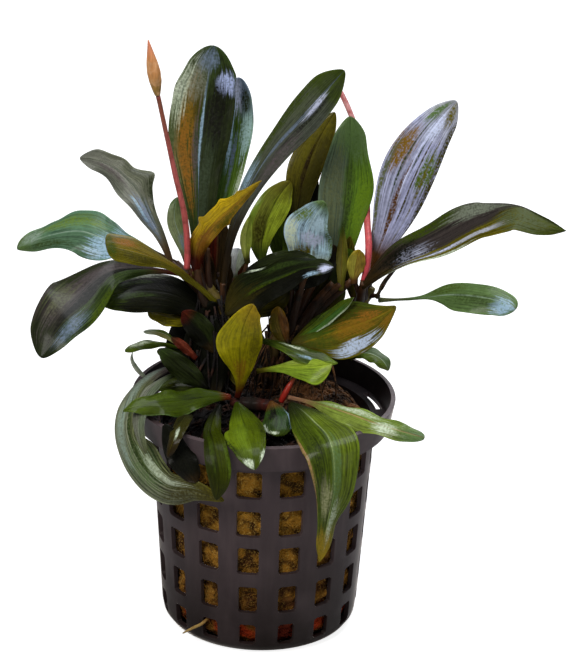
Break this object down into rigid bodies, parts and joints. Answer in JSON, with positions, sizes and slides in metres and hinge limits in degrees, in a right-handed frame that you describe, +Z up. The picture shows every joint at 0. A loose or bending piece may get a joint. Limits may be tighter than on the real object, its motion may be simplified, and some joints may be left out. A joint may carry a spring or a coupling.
{
  "type": "potted bucephalandra",
  "caption": "Rooted tuft of broad and narrow water-plant leaves with flower stalks, on rooting wool in a round slotted net pot.",
  "frame": {"origin": "centre of the net pot's underside", "axes": "+Z up along the pot's axis, -Y the side that the widest leaves face, +X to the right seen from there"},
  "size_m": [0.1123, 0.0694, 0.128],
  "materials": {
    "pot": "matt moulded plastic, dark grey with a violet cast",
    "wool": "fibrous mineral wool, golden brown",
    "roots": "thin brown roots, matt",
    "rhizome": "olive-brown stem, satin",
    "stem": "red-brown stalk, satin",
    "bud": "salmon-orange closed bud, satin",
    "leaf_dark": "very dark green to charcoal, glossy with a bluish sheen",
    "leaf_green": "green, glossy",
    "leaf_olive": "olive yellow to brown, glossy",
    "leaf_silver": "dark leaf under a silvery lavender sheen"
  },
  "bodies": {
    "root": {"bud_right": "bud", "flower_bud": "bud", "leaf_01": "leaf_dark", "leaf_02": "leaf_dark", "leaf_03": "leaf_dark", "leaf_04": "leaf_olive", "leaf_05": "leaf_dark", "leaf_06": "leaf_silver", "leaf_07": "leaf_dark", "leaf_08": "leaf_green", "leaf_09": "leaf_olive", "leaf_10": "leaf_green", "leaf_11": "leaf_green", "leaf_12": "leaf_olive", "leaf_13": "leaf_green", "leaf_14": "leaf_green", "leaf_15": "leaf_green", "leaf_16": "leaf_green", "leaf_17": "leaf_green", "leaf_18": "leaf_green", "leaf_19": "leaf_silver", "leaf_20": "leaf_silver", "leaf_21": "leaf_green", "leaf_22": "leaf_dark", "leaf_23": "leaf_dark", "leaf_24": "leaf_green", "leaf_25": "leaf_olive", "leaf_26": "leaf_dark", "leaf_27": "leaf_green", "leaf_28": "leaf_olive", "leaf_29": "leaf_olive", "leaf_30": "leaf_silver", "leaf_31": "leaf_dark", "leaf_32": "leaf_olive", "leaf_33": "leaf_olive", "leaf_34": "leaf_dark", "leaf_35": "leaf_olive", "leaf_36": "leaf_olive", "leaf_37": "leaf_olive", "leaf_38": "leaf_green", "leaf_39": "leaf_silver", "leaf_40": "leaf_olive", "leaf_41": "stem", "leaf_42": "leaf_green", "leaf_43": "stem", "leaf_44": "leaf_green", "leaf_45": "leaf_green", "leaf_46": "leaf_green", "leaf_47": "leaf_green", "net_pot": "pot", "peduncle_left": "stem", "peduncle_right": "stem", "rhizome_front": "rhizome", "rhizome_left": "rhizome", "rhizome_middle": "rhizome", "rhizome_right": "rhizome", "root_mat": "roots", "rooting_wool": "wool", "shoot_front": "stem", "stray_root": "roots"}
  },
  "joints": []
}
